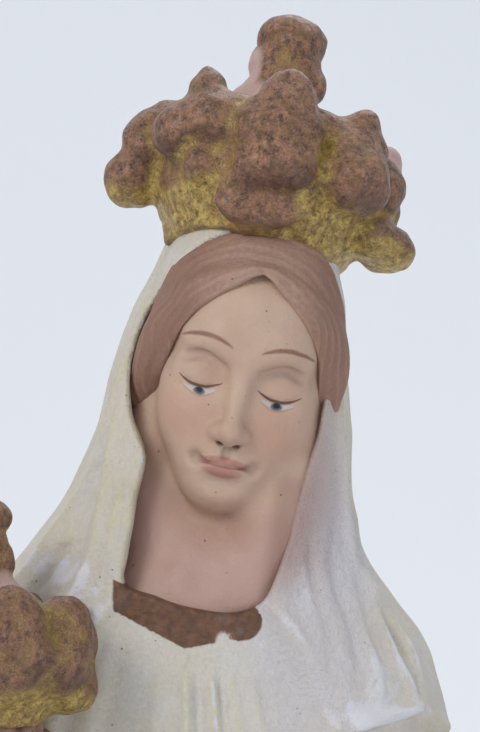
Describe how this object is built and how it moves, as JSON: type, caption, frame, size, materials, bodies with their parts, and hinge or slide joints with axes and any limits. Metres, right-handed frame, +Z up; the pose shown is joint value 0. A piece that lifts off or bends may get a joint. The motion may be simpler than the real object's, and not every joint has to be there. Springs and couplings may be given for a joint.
{
  "type": "madonna statue",
  "caption": "Crowned madonna holding a crowned child, a hollow-cast painted plaster devotional statue on an octagonal plinth.",
  "frame": {"origin": "centre of the resting face, on the surface the statue stands on", "axes": "+Z up, the figure faces -Y, +X on the viewer's right"},
  "size_m": [0.15, 0.13, 0.5012],
  "materials": {
    "ivory_plaster": "satin",
    "robe_plaster": "satin",
    "plinth_plaster": "satin",
    "flesh_plaster": "satin",
    "child_plaster": "satin",
    "gilt_plaster": "gloss",
    "scrim": "matte",
    "felt": "matte",
    "board": "matte",
    "iron": "matte"
  },
  "bodies": {
    "root": {"felt_pad": "felt", "closing_plate": "board", "plinth": "plinth_plaster", "body_front_shell": "robe_plaster", "body_back_shell": "ivory_plaster", "seam_scrim_right": "scrim", "seam_scrim_left": "scrim", "head": "flesh_plaster", "crown": "gilt_plaster", "right_hand": "flesh_plaster", "left_hand": "flesh_plaster", "child": "child_plaster", "child_crown": "gilt_plaster", "armature_rod": "iron", "crown_peg": "iron", "child_crown_peg": "iron", "child_pegs": "iron", "right_hand_peg": "iron", "left_hand_peg": "iron"}
  },
  "joints": []
}
